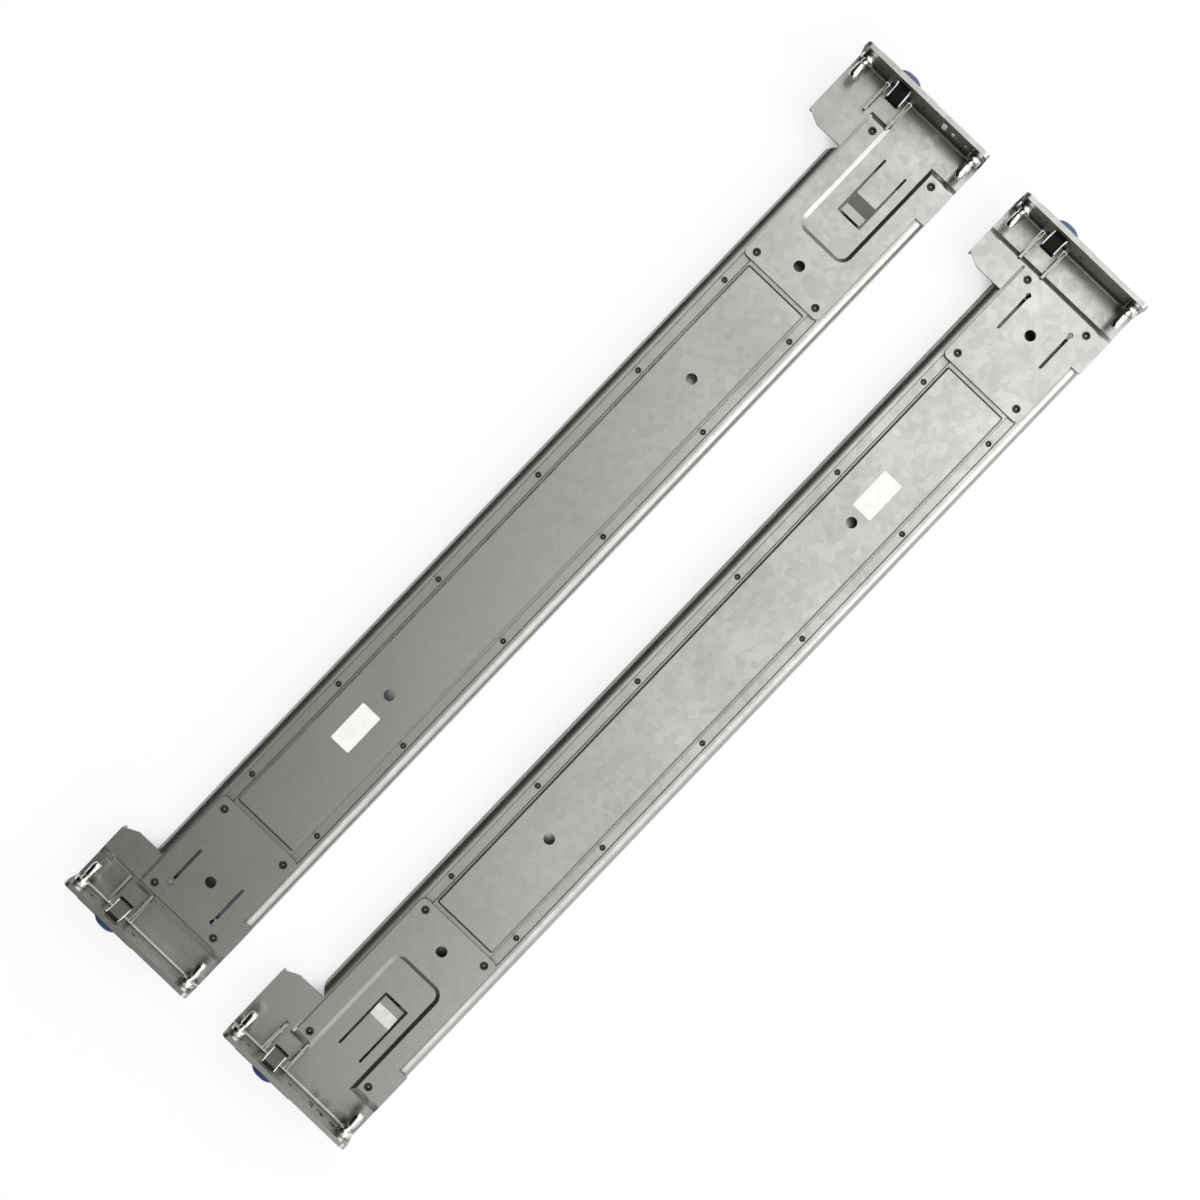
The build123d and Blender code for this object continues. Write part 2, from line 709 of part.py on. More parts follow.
def latch_spring():
    """Close-wound torsion spring on the pivot pin, with a leg on the latch's base plate."""
    inner = pivot_diameter / 2 + pivot_clearance
    outer = inner + spring_wire
    coil = spring_turns * spring_wire
    axis = Axis((pivot_x, 0, pivot_z), (0, 1, 0))
    start = latch_centre - coil / 2
    with BuildPart() as spring:
        with BuildSketch(Plane.XY.offset(pivot_z)):
            with BuildLine():
                points = [(pivot_x + inner, start)]
                for turn in range(spring_turns):
                    points.append((pivot_x + outer - spring_wire / 3, start + turn * spring_wire))
                    points.append((pivot_x + outer, start + (turn + 0.5) * spring_wire))
                points.append((pivot_x + outer - spring_wire / 3, start + coil))
                points.append((pivot_x + inner, start + coil))
                Polyline(*points, close=True)
            make_face()
        revolve(axis=axis)
        leg_low = pivot_z - base_plate_drop - spring_wire
        with BuildSketch(Plane.YZ.offset(pivot_x)):
            with Locations((latch_centre, leg_low)):
                Rectangle(spring_wire, spring_wire, align=(Align.CENTER, Align.MIN))
        extrude(amount=inner + spring_wire + spring_leg)
        with BuildSketch(Plane.XZ.offset(-latch_centre + coil)):
            with Locations((pivot_x, pivot_z)):
                Circle(inner)
        extrude(amount=-2 * coil, mode=Mode.SUBTRACT)
    return spring.part


def release_button():
    """Moulded thumb button, crowned, with a pocket for the latch's arm."""
    low = flange_plate_top + button_base
    arm_outer = flange_outer + arm_sheet - button_seat
    back = arm_outer - button_seat
    with BuildPart() as button:
        with BuildSketch(Plane.YZ.offset(back)):
            with Locations((latch_centre, low)):
                Rectangle(button_width, button_height, align=(Align.CENTER, Align.MIN))
        extrude(amount=button_depth)
        fillet(button.edges().filter_by(Axis.X), button_corner)
        fillet(button.faces().sort_by(Axis.X)[-1].edges(), button_crown)
        with BuildSketch(Plane.YZ.offset(back)):
            with Locations((latch_centre, low)):
                Rectangle(arm_width + 2 * pivot_clearance,
                          flange_plate_top + arm_top - low + pivot_clearance,
                          align=(Align.CENTER, Align.MIN))
        extrude(amount=button_seat, mode=Mode.SUBTRACT)
    return button.part


def bracket_rivets(stations):
    """Four clinch rivets: a shallow head on the plate, a shank and a head inside the web."""
    places = [(x, side * bracket_rivet_offset) for x in stations for side in (1, -1)]
    with BuildPart() as rivets:
        with BuildSketch(Plane.XY.offset(web_low)):
            with Locations(*places):
                Circle(bracket_rivet_shank / 2)
        extrude(amount=plate_top - web_low)
        with BuildSketch(Plane.XY.offset(plate_top)):
            with Locations(*places):
                Circle(bracket_rivet_head / 2)
                Circle(bracket_rivet_shank / 2 - bracket_rivet_rise, mode=Mode.SUBTRACT)
        extrude(amount=bracket_rivet_rise, taper=30)
        with BuildSketch(Plane.XY.offset(web_low)):
            with Locations(*places):
                Circle(bracket_rivet_head / 2)
        extrude(amount=-bracket_rivet_rise, taper=30)
    return rivets.part


def raceway(side):
    """Rolled raceway strip: a flange under the rivet band and a leg with the ball groove."""
    start = row_centre - row_reach - raceway_overhang
    length = raceway_end - start
    with BuildPart() as strip:
        with BuildSketch(Plane.YZ.offset(start)):
            with Locations((raceway_inner_edge, raceway_top)):
                Rectangle(raceway_outer - raceway_inner_edge, raceway_sheet,
                          align=(Align.MIN, Align.MAX))
            with Locations((raceway_outer, raceway_top)):
                Rectangle(raceway_leg, raceway_top - raceway_leg_gap,
                          align=(Align.MAX, Align.MAX))
            with Locations((ball_offset, ball_height)):
                Circle(ball_radius + ball_clearance, mode=Mode.SUBTRACT)
        extrude(amount=length)
        bend = strip.edges().filter_by(Axis.X).group_by(Axis.Z)[-1].sort_by(Axis.Y)[-1]
        fillet(bend, raceway_sheet)
        with BuildSketch(Plane.YZ.offset(start + length - end_tab_length)):
            tab_edge = member_face + running_gap
            with Locations((tab_edge, ball_height)):
                Rectangle(raceway_outer - tab_edge, ball_diameter * 2,
                          align=(Align.MIN, Align.CENTER))
        extrude(amount=end_tab_length)
        with BuildSketch(Plane.XY.offset(raceway_low)):
            with Locations(*[(x, row_offset) for x in rivet_row]):
                Circle(row_rivet_shank / 2 + press_clearance)
        extrude(amount=raceway_sheet, mode=Mode.SUBTRACT)
    if side < 0:
        return mirror(strip.part, about=Plane.XZ)
    return strip.part


def raceway_rivets():
    """Twelve small rivets through the bands and the raceway flanges."""
    places = [(x, side * row_offset) for x in rivet_row for side in (1, -1)]
    band_top = web_top - band_depth
    with BuildPart() as rivets:
        with BuildSketch(Plane.XY.offset(raceway_low)):
            with Locations(*places):
                Circle(row_rivet_shank / 2)
        extrude(amount=band_top - raceway_low)
        with BuildSketch(Plane.XY.offset(band_top)):
            with Locations(*places):
                Circle(row_rivet_head / 2)
        extrude(amount=row_rivet_rise, taper=30)
        with BuildSketch(Plane.XY.offset(raceway_low)):
            with Locations(*places):
                Circle(row_rivet_tail / 2)
        extrude(amount=-row_rivet_rise, taper=30)
    return rivets.part


def sliding_member():
    """Rolled member that carries the server: a flat web, two walls and a ball groove in each."""
    with BuildPart() as member:
        with BuildSketch(Plane.YZ.offset(member_rear)):
            Rectangle(2 * member_face, member_height, align=(Align.CENTER, Align.MIN))
            with Locations((0, member_web)):
                Rectangle(2 * (member_face - member_wall), member_height,
                          align=(Align.CENTER, Align.MIN), mode=Mode.SUBTRACT)
            with Locations((ball_offset, ball_height), (-ball_offset, ball_height)):
                Circle(ball_radius + ball_clearance, mode=Mode.SUBTRACT)
        extrude(amount=member_length)
        low_edges = member.edges().filter_by(Axis.X).group_by(Axis.Z)[0]
        fillet(low_edges, member_web * 0.7)
        with BuildSketch(Plane.XY):
            with GridLocations(member_hole_spacing_x, member_hole_spacing_y, 2, 2):
                Circle(member_hole / 2)
            with GridLocations(member_hole_spacing_x / 4, 0, 2, 1):
                SlotOverall(member_slot_length, member_slot_width)
        extrude(amount=member_web, mode=Mode.SUBTRACT)
        upright = member.edges().filter_by(Axis.Y).group_by(Axis.Z)[-1]
        chamfer(upright, member_wall)
    return member.part


def retainer_places():
    """Places of the balls of one row along the rail."""
    step = retainer_length / balls_per_row
    return [retainer_rear + (n + 0.5) * step for n in range(balls_per_row)]


def ball_retainer():
    """Folded retainer: a web over the sliding member and a wing with ball pockets each side."""
    wing_outer = ball_offset + retainer_wing / 2
    with BuildPart() as retainer:
        with BuildSketch(Plane.YZ.offset(retainer_rear)):
            with Locations((0, retainer_web_top)):
                Rectangle(2 * wing_outer, retainer_sheet, align=(Align.CENTER, Align.MAX))
            for side in (1, -1):
                with Locations((side * ball_offset, retainer_web_top)):
                    Rectangle(retainer_wing, retainer_wing_drop, align=(Align.CENTER, Align.MAX))
        extrude(amount=retainer_length)
        outer = retainer.edges().filter_by(Axis.X).group_by(Axis.Z)[-1]
        fillet(outer, retainer_sheet)
        with BuildSketch(Plane.XZ.offset(-wing_outer)):
            with Locations(*[(x, ball_height) for x in retainer_places()]):
                Circle(ball_radius + ball_clearance)
        extrude(amount=2 * wing_outer, mode=Mode.SUBTRACT)
        with BuildSketch(Plane.XY.offset(retainer_web_low)):
            with Locations((retainer_rear + retainer_length / 2, 0)):
                SlotOverall(retainer_length * 0.7, member_slot_width)
        extrude(amount=retainer_sheet, mode=Mode.SUBTRACT)
    return retainer.part


def bearing_balls():
    """Two rows of steel balls."""
    with BuildPart() as balls:
        for side in (1, -1):
            with Locations(*[(x, side * ball_offset, ball_height) for x in retainer_places()]):
                Sphere(ball_radius)
    return balls.part


def rear_bumper():
    """Moulded stop under the channel's rear end, behind the closed sliding member."""
    face = member_rear - running_gap
    with BuildPart() as bumper:
        with BuildSketch(Plane.XY.offset(lip_floor_gap)):
            with Locations((face, 0)):
                Rectangle(bumper_length, bumper_width, align=(Align.MAX, Align.CENTER))
        extrude(amount=web_low - lip_floor_gap)
        fillet(bumper.edges().filter_by(Axis.Z), bumper_length / 4)
    return bumper.part


def write_piece(name, shape):
    """Place one piece in each rail and write both."""
    turned = mirror(shape, about=Plane.YZ)
    for side, centre, source in (("left", left_centre, shape), ("right", right_centre, turned)):
        with BuildPart() as piece:
            with Locations((0, centre, 0)):
                add(source)
        piece.part.label = f"{side}_{name}"
        export_step(piece.part, f"parts/{side}_{name}.step")


def at_rear(shape):
    """A piece drawn at the front flange, mirrored to the rear one."""
    return mirror(shape, about=Plane.YZ)


os.makedirs("parts", exist_ok=True)
front_stations = (rail_half - front_rivets_near, rail_half - front_rivets_far)
rear_stations = (rear_rivets_near - rail_half, rear_rivets_far - rail_half)
write_piece("front_locating_pins", locating_pins(pin_shaft))
write_piece("rear_locating_pins", at_rear(locating_pins(rear_pin_shaft)))
write_piece("outer_channel", outer_channel())
write_piece("upper_raceway", raceway(1))
write_piece("lower_raceway", raceway(-1))
write_piece("raceway_rivets", raceway_rivets())
write_piece("sliding_member", sliding_member())
write_piece("ball_retainer", ball_retainer())
write_piece("bearing_balls", bearing_balls())
write_piece("rear_bumper", rear_bumper())
write_piece("front_bracket", front_bracket())
write_piece("front_bracket_rivets", bracket_rivets(front_stations))
write_piece("rear_bracket", at_rear(rear_bracket()))
write_piece("rear_bracket_rivets", bracket_rivets(rear_stations))
write_piece("front_flange_cover", flange_cover(True))
write_piece("rear_flange_cover", at_rear(flange_cover(False)))
flange_pieces = {
    "cover_rivets": cover_rivets(), "latch": latch(), "latch_pin": latch_pin(),
    "latch_spring": latch_spring(), "release_button": release_button()}
for name, shape in flange_pieces.items():
    write_piece(f"front_{name}", shape)
    write_piece(f"rear_{name}", at_rear(shape))
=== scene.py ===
# %% [markdown]
# # A pair of sliding rack rails
# The rails are zinc-coated steel sheet, cut, pressed and riveted, with bright turned pins and a
# small blue moulded button at each end. The fixed frame holds every real piece at its place, so
# the work here is on finishes, light and the few pieces that are better made as meshes: turned
# pins with eased edges, cupped rivets, crowned buttons, wound springs and a bare sticker on each
# rail.

# %% Load the frame
import json
from math import cos, pi, radians, sin

import bpy
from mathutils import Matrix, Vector


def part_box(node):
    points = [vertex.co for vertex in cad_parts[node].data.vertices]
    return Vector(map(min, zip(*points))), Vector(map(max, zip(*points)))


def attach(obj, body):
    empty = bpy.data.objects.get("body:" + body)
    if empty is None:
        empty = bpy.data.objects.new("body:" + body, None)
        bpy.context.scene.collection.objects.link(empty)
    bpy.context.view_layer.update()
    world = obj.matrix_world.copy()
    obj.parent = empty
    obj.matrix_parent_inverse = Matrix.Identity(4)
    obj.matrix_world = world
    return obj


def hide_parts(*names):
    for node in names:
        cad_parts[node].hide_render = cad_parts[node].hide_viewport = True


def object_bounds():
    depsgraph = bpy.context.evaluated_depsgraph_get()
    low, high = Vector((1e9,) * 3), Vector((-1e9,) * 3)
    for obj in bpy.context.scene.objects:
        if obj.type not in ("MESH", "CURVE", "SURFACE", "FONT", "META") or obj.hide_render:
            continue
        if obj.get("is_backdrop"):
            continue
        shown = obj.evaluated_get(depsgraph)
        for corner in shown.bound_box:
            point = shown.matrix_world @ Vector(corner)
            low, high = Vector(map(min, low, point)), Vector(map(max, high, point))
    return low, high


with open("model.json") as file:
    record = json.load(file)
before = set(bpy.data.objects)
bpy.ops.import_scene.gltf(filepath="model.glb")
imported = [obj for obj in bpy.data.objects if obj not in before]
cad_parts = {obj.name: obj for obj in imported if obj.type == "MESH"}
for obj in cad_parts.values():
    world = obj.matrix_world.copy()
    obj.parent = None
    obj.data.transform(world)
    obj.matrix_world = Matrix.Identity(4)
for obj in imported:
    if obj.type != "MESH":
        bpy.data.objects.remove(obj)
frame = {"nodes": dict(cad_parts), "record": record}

cad_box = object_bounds()
bpy.ops.object.select_all(action="DESELECT")
print("CAD box in metres:", [[round(c, 4) for c in corner] for corner in cad_box])

# %% [markdown]
# ## Units and places
# Sizes are written in millimetres, as a maker reads them, and one factor turns them to metres.
# The places of the pieces come from the boxes of the frame's own nodes, so nothing is fitted by
# eye.

# %% Units and places
MM = 0.001
SIDES = ("left", "right")
RAIL_ENDS = [(side, end) for side in SIDES for end in ("front", "rear")]


def middle(box):
    """Centre of a box that is given by its two corners."""
    return (box[0] + box[1]) / 2


def outward(box):
    """Side of the rails' middle that a box lies on along X: 1 or -1."""
    return 1 if middle(box).x > 0 else -1


channel_boxes = {side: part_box(f"{side}_outer_channel") for side in SIDES}
for side in SIDES:
    print(side, "channel centre:", [round(c, 4) for c in middle(channel_boxes[side])])

# %% [markdown]
# ## Camera
# The photograph looks straight down from a little under a metre, turned so that the rails run
# from the lower left to the upper right. The long focal length is worked out from the width of
# the view at the channels' height.

# %% Camera
IMAGE_PIXELS = 1200
MM_PER_PIXEL = 0.529
VIEW_WIDTH = IMAGE_PIXELS * MM_PER_PIXEL * MM
WEB_HEIGHT = 15 * MM
CAMERA_DISTANCE = 0.95
CLIP_DISTANCE = 20
RAIL_ANGLE = radians(46.3)
VIEW_CENTRE = (-4.0 * MM, 0.6 * MM)

camera_data = bpy.data.cameras.new("camera")
camera = bpy.data.objects.new("camera", camera_data)
bpy.context.scene.collection.objects.link(camera)
camera.location = (*VIEW_CENTRE, WEB_HEIGHT + CAMERA_DISTANCE)
camera.rotation_euler = (0, 0, -RAIL_ANGLE)
camera_data.lens = camera_data.sensor_width * CAMERA_DISTANCE / VIEW_WIDTH
camera_data.clip_end = CLIP_DISTANCE
bpy.context.scene.camera = camera
print("focal length:", round(camera_data.lens, 1), "mm")

# %% [markdown]
# ## Colours and nodes
# A shader could be joined up with a line for every value and every link. One small function that
# takes a node's kind, inputs and settings in one call keeps each finish short enough to read. A
# colour is written as the hex value that it has on screen, and another function turns it to the
# linear value that the shader needs.

# %% Colours and nodes
WHITE = (1, 1, 1, 1)


def linear(hex_value):
    """sRGB hex colour as a linear RGBA tuple."""
    channels = [int(hex_value[i:i + 2], 16) / 255 for i in (1, 3, 5)]
    curved = [c / 12.92 if c <= 0.04045 else ((c + 0.055) / 1.055) ** 2.4 for c in channels]
    return (*curved, 1.0)


def add_node(tree, kind, inputs=None, **settings):
    """Add a node; an input takes a value, a socket, or a node for that node's first output."""
    node = tree.nodes.new(kind)
    for name, value in settings.items():
        setattr(node, name, value)
    for key, value in (inputs or {}).items():
        if isinstance(value, bpy.types.Node):
            value = value.outputs[0]
        if isinstance(value, bpy.types.NodeSocket):
            tree.links.new(value, node.inputs[key])
        else:
            node.inputs[key].default_value = value
    return node


def empty_tree(owner):
    """Node tree of a new material or world, with nothing in it."""
    owner.use_nodes = True
    owner.node_tree.nodes.clear()
    return owner.node_tree


def new_material(name):
    """Material with an empty tree and the Object coordinates that its patterns read."""
    material = bpy.data.materials.new(name)
    tree = empty_tree(material)
    return material, tree, add_node(tree, "ShaderNodeTexCoord").outputs["Object"]


def close_material(tree, inputs):
    """End a material's tree with a principled shader that has these inputs."""
    shader = add_node(tree, "ShaderNodeBsdfPrincipled", inputs)
    add_node(tree, "ShaderNodeOutputMaterial", {"Surface": shader})


print("white in linear values:", linear("#FFFFFF"))

# %% [markdown]
# ## Layers of a finish
# A picture of a metal sheet would bring its own light and would stretch over the bends. Each
# finish here is built in layers instead: a pattern whose grain has a real size, a tone laid over
# the colour where the pattern is strong, and the roughness and relief that a pattern gives.
# The last function darkens a colour with painted shade where other pieces stand close over a
# surface.

# %% Layers of a finish
PATTERN_LOW = 0.3
PATTERN_HIGH = 0.7
# Painted shade: the dark colour, reach and sampling of the shade laid over a finish near other
# pieces.
PAINTED_SHADE_COLOUR = "#2E2F2B"
PAINTED_SHADE_REACH = 16
PAINTED_SHADE_OPEN = 0.88
PAINTED_SHADE_CLOSE = 0.2
PAINTED_SHADE_SAMPLES = 6


def grain(tree, place, pattern):
    """Cloudy pattern; its numbers are grain length along X and width in mm, detail, roughness."""
    length_mm, width_mm, detail, roughness = pattern
    across = 1 / (width_mm * MM)
    stretched = add_node(tree, "ShaderNodeMapping", {
        "Vector": place, "Scale": (1 / (length_mm * MM), across, across)})
    return add_node(tree, "ShaderNodeTexNoise", {
        "Vector": stretched, "Scale": 1.0, "Detail": detail, "Roughness": roughness})


def tinted(tree, colour, tone, pattern, share=1.0, low=PATTERN_LOW, high=PATTERN_HIGH):
    """Colour with a tone laid over it, up to its share, as the pattern goes from low to high."""
    cover = add_node(tree, "ShaderNodeMapRange", {
        "Value": pattern, "From Min": low, "From Max": high, "To Min": 0.0, "To Max": share})
    return add_node(tree, "ShaderNodeMix", {0: cover, 6: colour, 7: linear(tone)},
                    data_type="RGBA").outputs[2]


def with_painted_shade(tree, colour, share):
    """Colour darkened by painted shade, up to its share, where other pieces stand close over the
    surface.
    """
    openness = add_node(tree, "ShaderNodeAmbientOcclusion", {"Distance": PAINTED_SHADE_REACH * MM},
                        samples=PAINTED_SHADE_SAMPLES).outputs["AO"]
    return tinted(tree, colour, PAINTED_SHADE_COLOUR, openness, share, PAINTED_SHADE_OPEN, PAINTED_SHADE_CLOSE)


def surface(tree, roughness, relief):
    """Roughness from (pattern, least, most) and relief from (pattern, strength, depth in mm)."""
    pattern, least, most = roughness
    height, strength, depth_mm = relief
    rough = add_node(tree, "ShaderNodeMapRange", {
        "Value": pattern, "From Min": PATTERN_LOW, "From Max": PATTERN_HIGH,
        "To Min": least, "To Max": most})
    normal = add_node(tree, "ShaderNodeBump", {
        "Height": height, "Strength": strength, "Distance": depth_mm * MM})
    return {"Roughness": rough, "Normal": normal}


print("grime reaches", PAINTED_SHADE_REACH, "mm from a corner")

# %% [markdown]
# ## Zinc-coated sheet
# The channels and brackets are hot-dip galvanised strip with a small, skin-passed spangle: a
# soft grey metal whose crystals, about 4 mm across, catch the light a little differently. Rolling
# leaves fine lines along the rail, and handling leaves dull patches and hair scratches. Each of
# these is a layer with its real size in millimetres. A metal reflects what is round it, so the
# roughness does more here than the colour. The grit of the real coating is finer than the picture
# can show, so it is drawn half a millimetre across. Painted shade darkens the sheet's colour
# within a few millimetres of the flange's foot, the pins and the blades, where other pieces
# stand close over it.

# %% Zinc-coated sheet
SHEET_PALE = "#AEB0AA"
SHEET_DULL = "#A2A49E"
SHEET_METALLIC = 0.9
SHEET_PAINTED_SHADE = 0.62
SHEET_ROUGHNESS = (0.22, 0.34)
SHEET_RELIEF = (0.22, 0.02)
# Noise layers: grain length along X and grain width in millimetres, detail, roughness
PATCHES = (45, 45, 5, 0.55)
GRIT = (0.5, 0.5, 2, 0.55)
ROLLING_LINES = (40, 0.5, 3, 0.5)
SCRATCHES = (9, 0.35, 5, 0.7)
# Tones that lie over the sheet's own, each with the most of it that covers the sheet
SPANGLE_TONE = "#7A7C77"
SPANGLE_SHARE = 0.22
GRIT_TONE = "#6C6E69"
GRIT_SHARE = 0.18
SCRATCH_TONE = "#D2D3CF"
SCRATCH_SHARE = 0.3
SPANGLE = 4.0
SPANGLE_ROUGHNESS = 0.03
SCRATCH_LOW = 0.66
SCRATCH_HIGH = 0.74
SCRATCH_STRENGTH = 0.25
SCRATCH_DEPTH = 0.02


def zinc_sheet(name):
    """Galvanised steel sheet with spangle, rolling lines, handling marks and dull patches."""
    material, tree, place = new_material(name)
    crystals = add_node(tree, "ShaderNodeTexVoronoi", {
        "Vector": place, "Scale": 1 / (SPANGLE * MM)}).outputs["Color"]
    crystal = add_node(tree, "ShaderNodeSeparateColor", {"Color": crystals})
    patches = grain(tree, place, PATCHES)
    grit = grain(tree, place, GRIT)
    rolling = grain(tree, place, ROLLING_LINES)
    marks = add_node(tree, "ShaderNodeMapRange", {
        "Value": grain(tree, place, SCRATCHES), "From Min": SCRATCH_LOW,
        "From Max": SCRATCH_HIGH})
    colour = tinted(tree, linear(SHEET_PALE), SHEET_DULL, patches)
    colour = tinted(tree, colour, SPANGLE_TONE, crystal, SPANGLE_SHARE, 0.0, 1.0)
    colour = tinted(tree, colour, GRIT_TONE, grit, GRIT_SHARE)
    colour = tinted(tree, colour, SCRATCH_TONE, marks, SCRATCH_SHARE, 0.0, 1.0)
    relief = add_node(tree, "ShaderNodeMath", {0: grit, 1: rolling}, operation="ADD")
    skin = surface(tree, (patches, *SHEET_ROUGHNESS), (relief, *SHEET_RELIEF))
    glint = add_node(tree, "ShaderNodeMapRange", {
        "Value": crystal, "To Min": -SPANGLE_ROUGHNESS, "To Max": SPANGLE_ROUGHNESS})
    rough = add_node(tree, "ShaderNodeMath", {0: skin["Roughness"], 1: glint}, operation="ADD")
    scratched = add_node(tree, "ShaderNodeBump", {
        "Height": marks, "Strength": SCRATCH_STRENGTH, "Distance": SCRATCH_DEPTH * MM,
        "Normal": skin["Normal"]}, invert=True)
    # The sheet's colour takes painted shade where other pieces stand close over it.
    close_material(tree, {
        "Base Color": with_painted_shade(tree, colour, SHEET_PAINTED_SHADE), "Metallic": SHEET_METALLIC,
        "Roughness": rough, "Normal": scratched})
    return material


sheet_finish = zinc_sheet("galvanised_sheet_steel")
print("made", sheet_finish.name)

# %% [markdown]
# ## Drawn and rolled strip
# The sliding member, its raceways and the ball retainer are rolled from bright zinc-plated strip.
# The rolls leave long, even lines and a smoother, cooler surface than the sheet has. The latch
# is blanked from spring sheet: its blades are ground bright, and the arm between them is
# darkened with painted shade. The spring's drawn wire has the finest lines of the three. One
# function makes all of them, because only tones, line width and painted shade differ.

# %% Bright strip
STRIP_METALLIC = 0.95
LINE_LENGTH = 60
LINE_DETAIL = (4, 0.5)
STRIP_CLOUDS = (25, 25, 3, 0.55)
STRIP_RELIEF = (0.2, 0.015)
SMOOTHER = 0.04
ROUGHER = 0.06
ARM_SHADE_COLOUR = "#5C5C57"
ARM_SHADE_REACH = 4.5


def rolled_strip(name, pale, dull, line_mm, base_roughness, painted_shade, shaded_rows=()):
    """Plated strip or wire with lines drawn along X, painted shade in corners and along given
    rows.
    """
    material, tree, place = new_material(name)
    lines = grain(tree, place, (LINE_LENGTH, line_mm, *LINE_DETAIL))
    clouds = grain(tree, place, STRIP_CLOUDS)
    colour = tinted(tree, linear(pale), dull, lines)
    across = add_node(tree, "ShaderNodeSeparateXYZ", {0: place}).outputs["Y"]
    # Painted shade: a dark band along each given row, over the arm between a latch's blades.
    for row in shaded_rows:
        arm_shade = add_node(tree, "ShaderNodeMath", {0: across, 1: row, 2: ARM_SHADE_REACH * MM},
                          operation="COMPARE")
        colour = tinted(tree, colour, ARM_SHADE_COLOUR, arm_shade, 1.0, 0.0, 1.0)
    # The strip's colour takes painted shade where other pieces stand close over it.
    close_material(tree, {
        "Base Color": with_painted_shade(tree, colour, painted_shade), "Metallic": STRIP_METALLIC,
        **surface(tree, (clouds, base_roughness - SMOOTHER, base_roughness + ROUGHER),
                  (lines, *STRIP_RELIEF))})
    return material


strip_finish = rolled_strip("bright_zinc_strip", "#C9CBCB", "#AEB0B0", 0.3, 0.3, 0.3)
# Each latch's middle line, along which its arm takes painted shade.
shaded_latch_rows = [middle(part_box(f"{side}_front_latch")).y for side in SIDES]
latch_finish = rolled_strip("blanked_spring_sheet", "#B4B4AE", "#96968F", 0.2, 0.36, 0.8,
                            shaded_latch_rows)
wire_finish = rolled_strip("drawn_spring_wire", "#8E8E8A", "#6F6F6C", 0.08, 0.35, 0.3)
print("made", strip_finish.name, latch_finish.name, wire_finish.name)

# %% [markdown]
# ## Clinched rivets
# The rivets are cold-headed and dull. Their steel is given a dark colour that is painted shade,
# the shade in the cups, so that they read as dark dots along the rail, and a paler copy of it is a
# painted highlight for the middle of each cup. One mottle, a little under a millimetre across,
# drives tone, roughness and relief, as the heading tool marks all three at once.

# %% Rivet steel
MOTTLE = (0.9, 0.9, 4, 0.55)
RIVET_METALLIC = 0.8
RIVET_ROUGHNESS = (0.42, 0.6)
RIVET_RELIEF = (0.3, 0.03)


def headed_rivet(name, pale, dark):
    """Dull cold-headed steel, mottled by the heading tool."""
    material, tree, place = new_material(name)
    mottle = grain(tree, place, MOTTLE)
    close_material(tree, {
        "Base Color": tinted(tree, linear(pale), dark, mottle), "Metallic": RIVET_METALLIC,
        **surface(tree, (mottle, *RIVET_ROUGHNESS), (mottle, *RIVET_RELIEF))})
    return material


# The dark steel is painted shade for the cups, and its paler copy is a painted highlight for their
# middles.
shaded_rivet_finish = headed_rivet("rivet_steel_painted_shade", "#4B4C48", "#2B2C28")
rivet_highlight_finish = headed_rivet("rivet_middle_painted_highlight", "#A9AAA4", "#7E7F7A")
print("made", shaded_rivet_finish.name, rivet_highlight_finish.name)

# %% [markdown]
# ## Turned and plated pins
# The locating pins are turned bar with a bright nickel plate. The lathe leaves rings round the
# pin, so the waves of this finish run along X, the axis of every pin. A lathe's own feed is finer
# than the picture can show, so the rings are drawn about 2.2 mm apart.

# %% Nickel-plated pin
PLATE_FILM = (3, 3, 3, 0.55)
PLATE_ROUGHNESS = (0.1, 0.2)
RING_RELIEF = (0.12, 0.01)
RING_RADIAN = 0.35
WAVE_RADIANS_PER_UNIT = 20
RING_DISTORTION = 0.4


def plated_pin(name, pale, dull):
    """Nickel plate over turning marks that ring the X axis."""
    material, tree, place = new_material(name)
    rings = add_node(tree, "ShaderNodeTexWave", {
        "Vector": place, "Scale": 1 / (RING_RADIAN * MM) / WAVE_RADIANS_PER_UNIT,
        "Distortion": RING_DISTORTION, "Detail": 1.0}, bands_direction="X").outputs["Fac"]
    film = grain(tree, place, PLATE_FILM)
    close_material(tree, {
        "Base Color": tinted(tree, linear(pale), dull, film), "Metallic": 1.0,
        **surface(tree, (film, *PLATE_ROUGHNESS), (rings, *RING_RELIEF))})
    return material


pin_finish = plated_pin("nickel_plated_pin", "#E6E5E1", "#CFCECA")
print("made", pin_finish.name)

# %% [markdown]
# ## Mouldings and paper
# The button is moulded acetal: a slightly waxy blue with a fine eroded texture. The bumper is
# glass-filled nylon, nearly black and matt. The sticker is coated paper, left bare, with a trace
# of fibre and soft clouds of a slightly yellower tone. All three are a coloured body under a
# fine grain, so one function makes them.

# %% Mouldings
BODY_CLOUDS = (6, 6, 2, 0.55)
MOULD_DETAIL = (2, 0.55)
MOULD_RELIEF = (0.25, 0.03)


def moulding(name, pale, deep, grain_mm, roughness, coat=0.0):
    """Plastic or paper with a fine grain and, if it is waxy, a thin coat."""
    material, tree, place = new_material(name)
    eroded = grain(tree, place, (grain_mm, grain_mm, *MOULD_DETAIL))
    colour = tinted(tree, linear(pale), deep, grain(tree, place, BODY_CLOUDS))
    close_material(tree, {
        "Base Color": colour, "Coat Weight": coat,
        **surface(tree, (eroded, *roughness), (eroded, *MOULD_RELIEF))})
    return material


button_finish = moulding("moulded_blue_acetal", "#3C4F80", "#2E3E68", 0.25, (0.3, 0.42), 0.15)
bumper_finish = moulding("glass_filled_nylon", "#2A2A2B", "#1C1C1D", 0.4, (0.5, 0.65))
paper_finish = moulding("coated_sticker_paper", "#F1F1EC", "#E6E6DF", 0.2, (0.5, 0.62))
print("made", button_finish.name, bumper_finish.name, paper_finish.name)

